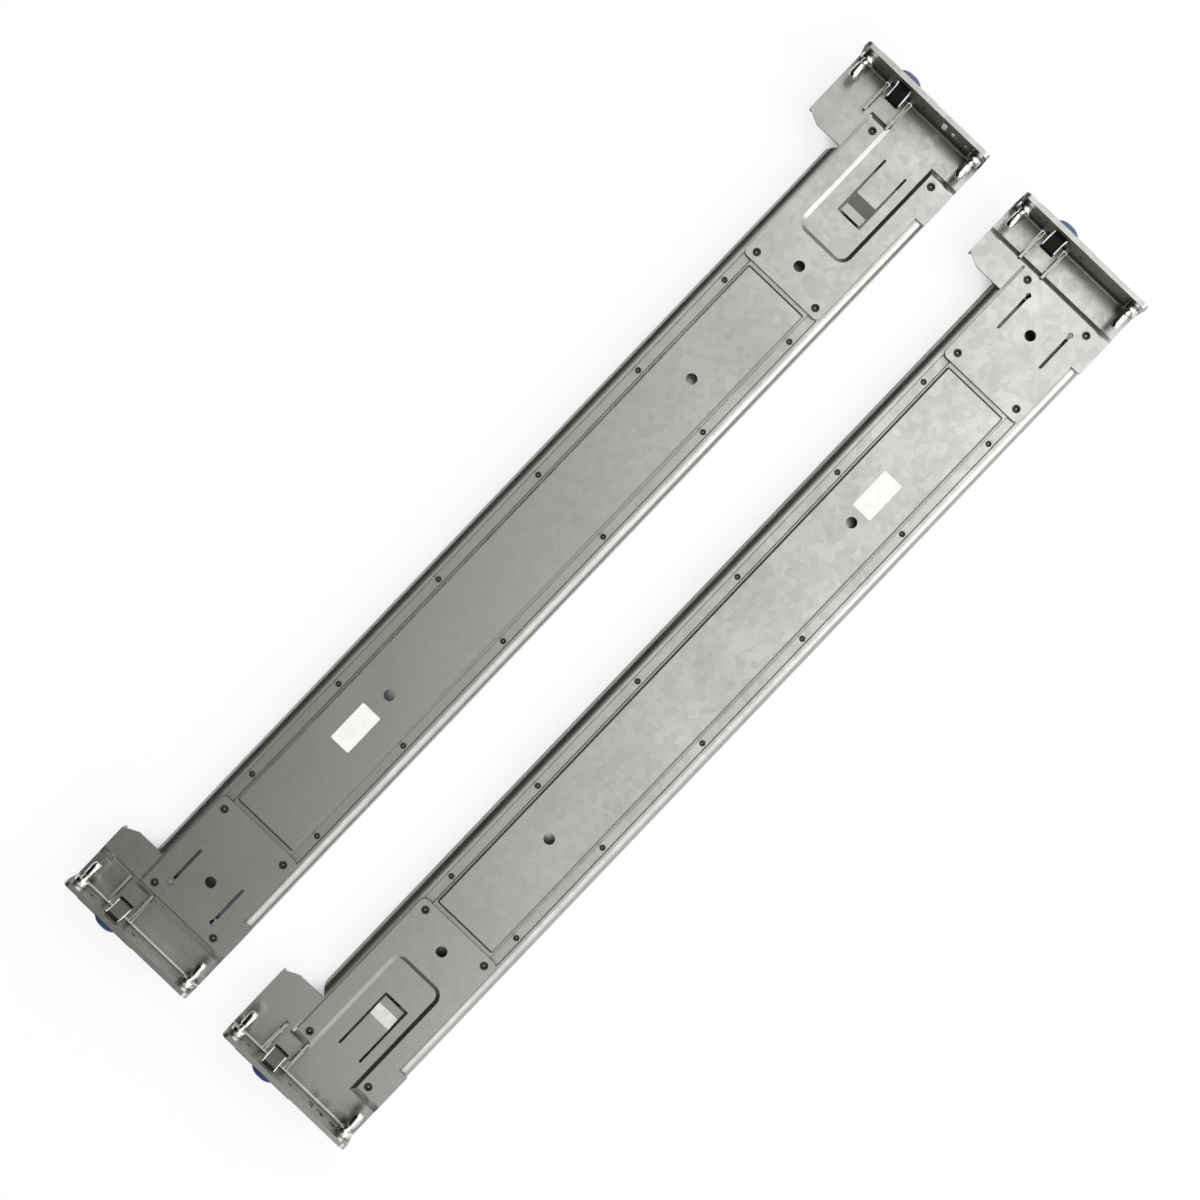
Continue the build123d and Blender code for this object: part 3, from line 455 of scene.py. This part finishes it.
# %% [markdown]
# ## Finishes on the frame's nodes
# Each node of the frame names its slot, and each slot has one finish here. Only the material
# slot is filled: the meshes stay as they are.

# %% Give each node its finish
finishes = {
    "galvanised_sheet": sheet_finish, "bright_strip": strip_finish, "rivet_steel": shaded_rivet_finish,
    "chrome_steel": pin_finish, "spring_sheet": latch_finish, "spring_wire": wire_finish,
    "black_moulding": bumper_finish, "blue_moulding": button_finish}
slot_of = {entry["node"]: entry["material_slot"] for entry in frame["record"]["subparts"]}
for node_name, node_object in frame["nodes"].items():
    node_object.data.materials.clear()
    node_object.data.materials.append(finishes[slot_of[node_name]])
print("finished", len(slot_of), "nodes")

# %% [markdown]
# ## Piece helpers
# The new pieces are made as by hand: a flat primitive is put in place, and a face of it is drawn
# out and resized, ring after ring. The functions for that come first. Every piece is then brought
# to the same end state: its object at the origin with its place in its mesh, faces outward, a
# finish, a slot and a body to ride on.

# %% Shape and finish a piece
SMOOTH_ANGLE = 35
WELD_DISTANCE = 0.002 * MM


def edit_all(kind):
    """Go into edit mode with all of the mesh selected as VERT, EDGE or FACE."""
    bpy.ops.object.mode_set(mode="EDIT")
    bpy.ops.mesh.select_mode(type=kind)
    bpy.ops.mesh.select_all(action="SELECT")


def disc(sides, radius_mm, place, rotation=(0, 0, 0)):
    """Filled disc in edit mode, with its face selected and its place in its mesh."""
    bpy.ops.object.select_all(action="DESELECT")
    bpy.ops.mesh.primitive_circle_add(
        vertices=sides, radius=radius_mm * MM, fill_type="NGON", location=place,
        rotation=rotation)
    bpy.ops.object.transform_apply(location=True, rotation=True, scale=True)
    edit_all("FACE")
    return bpy.context.object


def rounded_plane(size, corner_mm, segments, place, rotation=(0, 0, 0)):
    """Flat piece of this size in metres, with its four corners rounded by a vertex bevel."""
    bpy.ops.object.select_all(action="DESELECT")
    bpy.ops.mesh.primitive_plane_add(size=1, location=place, rotation=rotation)
    plane = bpy.context.object
    plane.scale = (*size, 1)
    bpy.ops.object.transform_apply(location=True, rotation=True, scale=True)
    edit_all("VERT")
    bpy.ops.mesh.bevel(offset=corner_mm * MM, segments=segments, affect="VERTICES")
    bpy.ops.object.mode_set(mode="OBJECT")
    return plane


def draw_out(centre, shift, ratios):
    """Extrude the selected face by shift and resize it about its new centre, which is returned."""
    bpy.ops.mesh.extrude_region_move(TRANSFORM_OT_translate={"value": shift})
    bpy.ops.transform.resize(value=ratios, center_override=centre + shift)
    return centre + shift


def finish_piece(piece, name, material, body, angle=SMOOTH_ANGLE):
    """Bake the piece's place into its mesh, shade it, and let it ride on its body."""
    piece.name = name
    piece.data.name = name
    bpy.ops.object.select_all(action="DESELECT")
    piece.select_set(True)
    bpy.context.view_layer.objects.active = piece
    bpy.ops.object.transform_apply(location=True, rotation=True, scale=True)
    edit_all("VERT")
    bpy.ops.mesh.remove_doubles(threshold=WELD_DISTANCE)
    bpy.ops.mesh.normals_make_consistent(inside=False)
    bpy.ops.object.mode_set(mode="OBJECT")
    bpy.ops.object.shade_smooth_by_angle(angle=radians(angle))
    piece.data.materials.clear()
    piece.data.materials.append(material)
    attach(piece, body)
    piece.select_set(False)


print("faces that meet under", SMOOTH_ANGLE, "degrees are shaded smooth")

# %% [markdown]
# ## Turned locating pins
# The pin is a lathe job: a collar that fills the rack's square hole, a neck, a shaft and a cone
# that finds the hole. A profile could be spun, but growing it ring by ring is how a turner
# reads it: a disc is extruded along the axis and resized at each step, and the sharp rings are
# then bevelled, because the eased edges catch the light.

# %% Turned pin
PIN_SIDES = 40
PIN_COLLAR = 8.6
PIN_COLLAR_LENGTH = 3.6
PIN_NECK = 4.0
PIN_NECK_LENGTH = 2.6
PIN_SHAFTS = {"front": 5.4, "rear": 4.9}
PIN_SHAFT_LENGTH = 7.0
PIN_CONE_END = 3.2
PIN_CONE_LENGTH = 1.8
PIN_TAIL = 4.4
PIN_SEAT = 2.7
PIN_HEAD = 6.8
PIN_HEAD_RISE = 0.8
PIN_EDGE = 0.3
PIN_EDGE_SEGMENTS = 2
PIN_SHARP = radians(20)


def pin_stations(shaft):
    """Steps of the pin as pairs of length and new width, from the tip on."""
    return [
        (PIN_CONE_LENGTH, shaft), (PIN_SHAFT_LENGTH, shaft), (0.0, PIN_NECK),
        (PIN_NECK_LENGTH, PIN_NECK), (0.0, PIN_COLLAR), (PIN_COLLAR_LENGTH, PIN_COLLAR),
        (0.0, PIN_TAIL), (PIN_SEAT, PIN_TAIL), (0.0, PIN_HEAD), (PIN_HEAD_RISE, PIN_TAIL)]


def turned_pin(tip, direction, stations):
    """Pin from its tip towards the flange; direction is 1 or -1 along X."""
    pin = disc(PIN_SIDES, PIN_CONE_END / 2, tip, (0, pi / 2, 0))
    centre = Vector(tip)
    width = PIN_CONE_END
    for length, next_width in stations:
        ratio = next_width / width
        centre = draw_out(centre, Vector((direction * length * MM, 0, 0)), (1, ratio, ratio))
        width = next_width
    bpy.ops.mesh.select_mode(type="EDGE")
    bpy.ops.mesh.select_all(action="DESELECT")
    bpy.ops.mesh.edges_select_sharp(sharpness=PIN_SHARP)
    bpy.ops.mesh.bevel(offset=PIN_EDGE * MM, segments=PIN_EDGE_SEGMENTS, affect="EDGES")
    bpy.ops.object.mode_set(mode="OBJECT")
    return pin


for side, end in RAIL_ENDS:
    node = f"{side}_{end}_locating_pins"
    low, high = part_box(node)
    towards = outward((low, high))
    tip_x = low.x if towards > 0 else high.x
    tip_z = middle((low, high)).z
    stations = pin_stations(PIN_SHAFTS[end])
    for label, tip_y in (("ear", high.y - PIN_COLLAR / 2 * MM),
                         ("plain", low.y + PIN_COLLAR / 2 * MM)):
        pin = turned_pin((tip_x, tip_y, tip_z), towards, stations)
        finish_piece(pin, f"{side}_{end}_{label}_pin", pin_finish, "rails")
        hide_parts(node)
    print("turned the", side, end, "pins in", len(stations), "steps")

# %% [markdown]
# ## Cupped rivets
# The rivets are semi-tubular: each ends in a cup whose steep walls pass the light from side to
# side until little is left, and the middle of each cup takes a painted highlight. One rivet is
# turned ring by ring from its tail up, as the pins are. It is then copied to each place, and the
# places are read from the frame's own rivets, so that every cup sits where its rivet does.

# %% Turned rivet
RIVET_SIDES = 28
RIVET_REACH = 6.0
CUP_SHARE = 0.92
CUP_FLOOR_SHARE = 0.72
CUP_MIDDLE_SHARE = 0.42
CUP_DEPTH_SHARE = 0.9
MIDDLE_RISE_SHARE = 0.4
MIDDLE_TOP_SHARE = 0.8


def rivet_places(node):
    """Centres of a node's rivets in plan, read from its mesh."""
    spots = []
    for vertex in frame["nodes"][node].data.vertices:
        near = [spot for spot in spots if (spot[0] - vertex.co.xy).length < RIVET_REACH * MM]
        if near:
            near[0].append(vertex.co.xy.copy())
        else:
            spots.append([vertex.co.xy.copy()])
    centres = []
    for spot in spots:
        xs = [point.x for point in spot]
        ys = [point.y for point in spot]
        centres.append(((min(xs) + max(xs)) / 2, (min(ys) + max(ys)) / 2))
    return centres


def rivet_stations(head, shank, tail, grip, rise):
    """Steps of a rivet from its tail up: pairs of length and new radius in millimetres."""
    bore = shank / 2 * CUP_SHARE
    depth = shank / 2 * CUP_DEPTH_SHARE
    cup_middle = bore * CUP_MIDDLE_SHARE
    return [
        (rise, tail / 2), (0.0, shank / 2), (grip, shank / 2), (0.0, head / 2),
        (rise, head / 2 - rise / 2), (0.0, bore), (-depth, bore * CUP_FLOOR_SHARE),
        (0.0, cup_middle), (depth * MIDDLE_RISE_SHARE, cup_middle * MIDDLE_TOP_SHARE)]


def turned_rivet(stations, radius, place):
    """One rivet from its tail up, standing along Z at its place, and its middle's height."""
    rivet = disc(RIVET_SIDES, radius, place)
    centre = Vector(place)
    for length, next_radius in stations:
        ratio = next_radius / radius
        centre = draw_out(centre, Vector((0, 0, length * MM)), (ratio, ratio, 1))
        radius = next_radius
    bpy.ops.object.mode_set(mode="OBJECT")
    return rivet, centre.z


print("raceway rivets of a rail:", len(rivet_places("left_raceway_rivets")))

# %% [markdown]
# ### Rows of rivets
# The small rivets hold the raceways and the larger ones hold the brackets. A row could be an
# Array modifier, but the rows of a rail aren't evenly spaced, so each copy gets its own place
# before the row is joined into one piece. The face in the middle of each cup then takes the
# painted highlight.

# %% Rivet rows
BRACKET_RIVET = {"head": 4.6, "shank": 3.0, "tail": 4.6, "grip": 3.0, "rise": 0.4}
RIVET_KINDS = {
    "raceway_rivets": {"head": 3.4, "shank": 2.2, "tail": 2.8, "grip": 2.7, "rise": 0.35},
    "front_bracket_rivets": BRACKET_RIVET,
    "rear_bracket_rivets": BRACKET_RIVET}
LEVEL_NORMAL = 0.9
LEVEL_CLOSE = 0.01 * MM


def rivet_row(node, sizes):
    """All of a node's rivets in one piece, and the height of their cups' middles."""
    tail_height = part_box(node)[0].z
    places = rivet_places(node)
    first, middle_height = turned_rivet(
        rivet_stations(**sizes), sizes["tail"] / 2 - sizes["rise"] / 2,
        (*places[0], tail_height))
    row = [first]
    for x, y in places[1:]:
        bpy.ops.object.duplicate()
        row.append(bpy.context.object)
        row[-1].location = (x - places[0][0], y - places[0][1], 0)
    for piece in row:
        piece.select_set(True)
    bpy.context.view_layer.objects.active = first
    bpy.ops.object.join()
    print(node, len(places), "rivets")
    return first, middle_height


for side in SIDES:
    for kind, sizes in RIVET_KINDS.items():
        node = f"{side}_{kind}"
        row, middle_height = rivet_row(node, sizes)
        # The rivets take the dark painted shade, and the middle face of each cup the painted
        # highlight.
        finish_piece(row, f"{side}_cupped_{kind}", shaded_rivet_finish, "rails")
        row.data.materials.append(rivet_highlight_finish)
        for face in row.data.polygons:
            level = face.normal.z > LEVEL_NORMAL
            if level and abs(face.center.z - middle_height) < LEVEL_CLOSE:
                face.material_index = 1
        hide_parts(node)

# %% [markdown]
# ## Release buttons
# The button is a small thumb pad, long across the flange and crowned towards the thumb, so that
# from above it is a thin lens. Its outline is a plane with rounded corners, drawn out in short
# steps that close up as a quarter of an ellipse does. A scaled sphere would lose the straight
# skirt that slides in the cover's window.

# %% Release buttons
BUTTON_CORNER = 3.0
BUTTON_CORNER_SEGMENTS = 6
BUTTON_POCKET = 0.65
BUTTON_SKIRT = 1.6
BUTTON_SHORT = 0.02
BUTTON_STEPS = 9
BUTTON_ARC = radians(80)
BUTTON_HEIGHT_KEPT = 0.45
BUTTON_SMOOTH_ANGLE = 50


def crowned_button(low, high, towards):
    """Thumb pad that fills the box from low to high, crowned to the side that towards gives."""
    centre = middle((low, high))
    back = (low.x if towards > 0 else high.x) + towards * BUTTON_POCKET * MM
    front = high.x if towards > 0 else low.x
    button = rounded_plane((high.z - low.z, high.y - low.y), BUTTON_CORNER,
                           BUTTON_CORNER_SEGMENTS, (back, centre.y, centre.z), (0, pi / 2, 0))
    edit_all("FACE")
    bpy.ops.mesh.extrude_region_move(TRANSFORM_OT_translate={
        "value": Vector((towards * BUTTON_SKIRT * MM, 0, 0))})
    reach = abs(front - back) - (BUTTON_SKIRT + BUTTON_SHORT) * MM
    along, width, height = 0.0, 1.0, 1.0
    for step in range(1, BUTTON_STEPS + 1):
        angle = BUTTON_ARC * step / BUTTON_STEPS
        next_along = reach * sin(angle) / sin(BUTTON_ARC)
        next_width = cos(angle)
        next_height = BUTTON_HEIGHT_KEPT + (1 - BUTTON_HEIGHT_KEPT) * cos(angle)
        centre = draw_out(centre, Vector((towards * (next_along - along), 0, 0)),
                          (1, next_width / width, next_height / height))
        along, width, height = next_along, next_width, next_height
    bpy.ops.object.mode_set(mode="OBJECT")
    return button


for side, end in RAIL_ENDS:
    node = f"{side}_{end}_release_button"
    low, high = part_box(node)
    button = crowned_button(low, high, outward((low, high)))
    finish_piece(button, f"{side}_{end}_thumb_button", button_finish,
                 f"{side}_{end}_latch", BUTTON_SMOOTH_ANGLE)
    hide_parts(node)
    print("crowned the", side, end, "button in", BUTTON_STEPS, "steps")

# %% [markdown]
# ## Wound springs
# A torsion spring returns each latch. It is a wire wound on the pivot pin. A curve with a bevel
# would do, but a Screw modifier on the wire's round section is the exact helix.

# %% Torsion spring
SPRING_WIRE = 0.7
SPRING_WIRE_SIDES = 10
SPRING_TURNS = 7
SPRING_TURN_STEPS = 20
SPRING_PITCH = 0.75
SPRING_RADIUS = 1.45
SPRING_SMOOTH_ANGLE = 60


def wound_spring(start):
    """Round wire wound round the Y axis through start, with both of its ends closed."""
    bpy.ops.object.select_all(action="DESELECT")
    bpy.ops.mesh.primitive_circle_add(
        vertices=SPRING_WIRE_SIDES, radius=SPRING_WIRE / 2 * MM, fill_type="NOTHING",
        location=(0, 0, 0))
    coil = bpy.context.object
    edit_all("VERT")
    bpy.ops.transform.translate(value=Vector((SPRING_RADIUS * MM, 0, 0)))
    bpy.ops.object.mode_set(mode="OBJECT")
    screw = coil.modifiers.new("wind", "SCREW")
    screw.axis = "Y"
    screw.screw_offset = SPRING_PITCH * MM
    screw.iterations = SPRING_TURNS
    screw.steps = SPRING_TURN_STEPS
    screw.render_steps = SPRING_TURN_STEPS
    screw.use_merge_vertices = False
    bpy.ops.object.modifier_apply(modifier="wind")
    coil.location = start
    bpy.ops.object.mode_set(mode="EDIT")
    bpy.ops.mesh.select_mode(type="EDGE")
    bpy.ops.mesh.select_all(action="DESELECT")
    bpy.ops.mesh.select_non_manifold()
    bpy.ops.mesh.edge_face_add()
    bpy.ops.object.mode_set(mode="OBJECT")
    return coil


for side, end in RAIL_ENDS:
    node = f"{side}_{end}_latch_spring"
    pivot = middle(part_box(f"{side}_{end}_latch_pin"))
    start_y = middle(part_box(node)).y - SPRING_TURNS * SPRING_PITCH / 2 * MM
    coil = wound_spring((pivot.x, start_y, pivot.z))
    finish_piece(coil, f"{side}_{end}_wound_spring", wire_finish,
                 f"{side}_{end}_latch", SPRING_SMOOTH_ANGLE)
    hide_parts(node)
    print("wound the", side, end, "spring in", SPRING_TURNS, "turns")

# %% [markdown]
# ## Bare stickers
# A small paper sticker lies on each plateau, towards the rear of the rail. It is bare here. It
# starts as a plane, gets rounded corners by a vertex bevel and its thickness by Solidify, so that
# its edge casts the faint line that real paper does.

# %% Stickers
STICKER_SIZE = (25.0 * MM, 12.6 * MM)
STICKER_THICKNESS = 0.15
STICKER_CORNER = 0.8
STICKER_CORNER_SEGMENTS = 5
STICKER_PLACES = {"left": (-142.0, 1.0), "right": (137.0, 0.0)}

for side, (along, across) in STICKER_PLACES.items():
    plateau_top = channel_boxes[side][1].z
    sticker = rounded_plane(
        STICKER_SIZE, STICKER_CORNER, STICKER_CORNER_SEGMENTS,
        (along * MM, middle(channel_boxes[side]).y + across * MM, plateau_top))
    paper = sticker.modifiers.new("paper", "SOLIDIFY")
    paper.thickness = STICKER_THICKNESS * MM
    paper.offset = 1
    bpy.ops.object.modifier_apply(modifier="paper")
    finish_piece(sticker, f"{side}_sticker", paper_finish, "rails")
print("laid", len(STICKER_PLACES), "stickers")

# %% [markdown]
# ## Floor
# The photograph is cut out on pure white. The floor is white paper: what the camera sees of it
# is plain white, and a little shadow is kept so that the rails stand on it. A shadow of the lamp
# alone would be too faint on a white that glows, so the nearness of the rails above the paper
# dims it as well.

# %% Floor
FLOOR_SIZE = 6.0
PAPER_WHITE = "#F4F4F4"
SHADOW_KEPT = 0.16
COVER_HEIGHT = 0.03
COVER_SAMPLES = 16
COVER_CLOSE = 0.1
COVER_OPEN = 0.45
COVERED_GLOW = 0.12

bpy.ops.object.select_all(action="DESELECT")
bpy.ops.mesh.primitive_plane_add(size=FLOOR_SIZE, location=(0, 0, cad_box[0][2]))
floor = bpy.context.object
floor.name = "floor"
floor_finish = bpy.data.materials.new("white_paper")
tree = empty_tree(floor_finish)
paper = add_node(tree, "ShaderNodeBsdfDiffuse", {"Color": linear(PAPER_WHITE)})
glow = add_node(tree, "ShaderNodeEmission", {"Color": WHITE, "Strength": 1.0})
ray = add_node(tree, "ShaderNodeLightPath")
seen = add_node(tree, "ShaderNodeMath", {
    0: ray.outputs["Is Camera Ray"], 1: ray.outputs["Is Transmission Ray"]}, operation="MAXIMUM")
openness = add_node(tree, "ShaderNodeAmbientOcclusion", {"Distance": COVER_HEIGHT},
                    samples=COVER_SAMPLES).outputs["AO"]
covered = add_node(tree, "ShaderNodeMapRange", {
    "Value": openness, "From Min": COVER_CLOSE, "From Max": COVER_OPEN,
    "To Min": COVERED_GLOW, "To Max": 1 - SHADOW_KEPT})
glow_share = add_node(tree, "ShaderNodeMath", {0: seen, 1: covered}, operation="MULTIPLY")
lit_paper = add_node(tree, "ShaderNodeMixShader", {0: glow_share, 1: paper, 2: glow})
add_node(tree, "ShaderNodeOutputMaterial", {"Surface": lit_paper})
floor.data.materials.append(floor_finish)
floor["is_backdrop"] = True
print("floor at", round(cad_box[0][2], 5))

# %% [markdown]
# ## Tent
# What the metal mirrors is the world: a soft grey tent that is brighter towards the right of the
# picture. Its brightness grows by one exponential towards that side, which is an even fall of
# tone to the eye along each rail. It dims again near the horizon, so the rounded shoulders and
# pressed edges end in the thin dark lines that the photograph has. The camera itself sees plain
# white.

# %% World
BRIGHT_SIDE = Vector((0.49, -0.87, 0)).normalized()
TENT_OVERHEAD = 0.98
TENT_LEAN = 7.0
TENT_LIMIT = 2.3
HORIZON_SHARE = 0.4
HORIZON_HEIGHT = 0.95

world = bpy.data.worlds.new("studio_tent")
bpy.context.scene.world = world
tree = empty_tree(world)
direction = add_node(tree, "ShaderNodeTexCoord").outputs["Generated"]
lean = add_node(tree, "ShaderNodeVectorMath", {0: direction, 1: BRIGHT_SIDE},
                operation="DOT_PRODUCT").outputs["Value"]
steep = add_node(tree, "ShaderNodeMath", {0: lean, 1: TENT_LEAN}, operation="MULTIPLY")
growth = add_node(tree, "ShaderNodeMath", {0: steep}, operation="EXPONENT")
brightness = add_node(tree, "ShaderNodeMath", {0: growth, 1: TENT_OVERHEAD},
                      operation="MULTIPLY")
limited = add_node(tree, "ShaderNodeMath", {0: brightness, 1: TENT_LIMIT}, operation="MINIMUM")
height = add_node(tree, "ShaderNodeSeparateXYZ", {0: direction}).outputs["Z"]
horizon = add_node(tree, "ShaderNodeMapRange", {
    "Value": height, "From Min": 0.0, "From Max": HORIZON_HEIGHT,
    "To Min": HORIZON_SHARE, "To Max": 1.0}, interpolation_type="SMOOTHSTEP")
tent = add_node(tree, "ShaderNodeMath", {0: limited, 1: horizon}, operation="MULTIPLY")
ray = add_node(tree, "ShaderNodeLightPath")
tent_light = add_node(tree, "ShaderNodeBackground", {"Color": WHITE, "Strength": tent})
plain_white = add_node(tree, "ShaderNodeBackground", {"Color": WHITE, "Strength": 1.0})
backdrop = add_node(tree, "ShaderNodeMixShader", {
    0: ray.outputs["Is Camera Ray"], 1: tent_light, 2: plain_white})
add_node(tree, "ShaderNodeOutputWorld", {"Surface": backdrop})
print("tent:", TENT_OVERHEAD, "overhead, at most", TENT_LIMIT)

# %% [markdown]
# ## Lamp
# One broad, soft lamp stands off on the bright side. It adds the long highlights on the pins and
# the blades and gives the shadows a direction. A smaller or nearer lamp would put hard spots on
# metal as smooth as this.

# %% Lamp
LAMP_SIZE = 0.7
LAMP_POWER = 5.0
LAMP_REACH = 1.1
LAMP_HEIGHT = 0.9
LAMP_PLACE = BRIGHT_SIDE * LAMP_REACH + Vector((0, 0, LAMP_HEIGHT))

lamp_data = bpy.data.lights.new("soft_lamp", "AREA")
lamp_data.shape = "DISK"
lamp_data.size = LAMP_SIZE
lamp_data.energy = LAMP_POWER
lamp = bpy.data.objects.new("soft_lamp", lamp_data)
bpy.context.scene.collection.objects.link(lamp)
lamp.location = LAMP_PLACE
lamp.rotation_euler = (-LAMP_PLACE).to_track_quat("-Z", "Y").to_euler()
bpy.context.scene.view_settings.view_transform = "Standard"
print("lamp of", LAMP_POWER, "W at", [round(c, 2) for c in LAMP_PLACE])

# %% Print the sizes and finish
bpy.context.view_layer.update()
dressed_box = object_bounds()
sizes = {"cad": [list(corner) for corner in cad_box],
         "visual": [list(corner) for corner in dressed_box]}
print("sizes:", sizes)
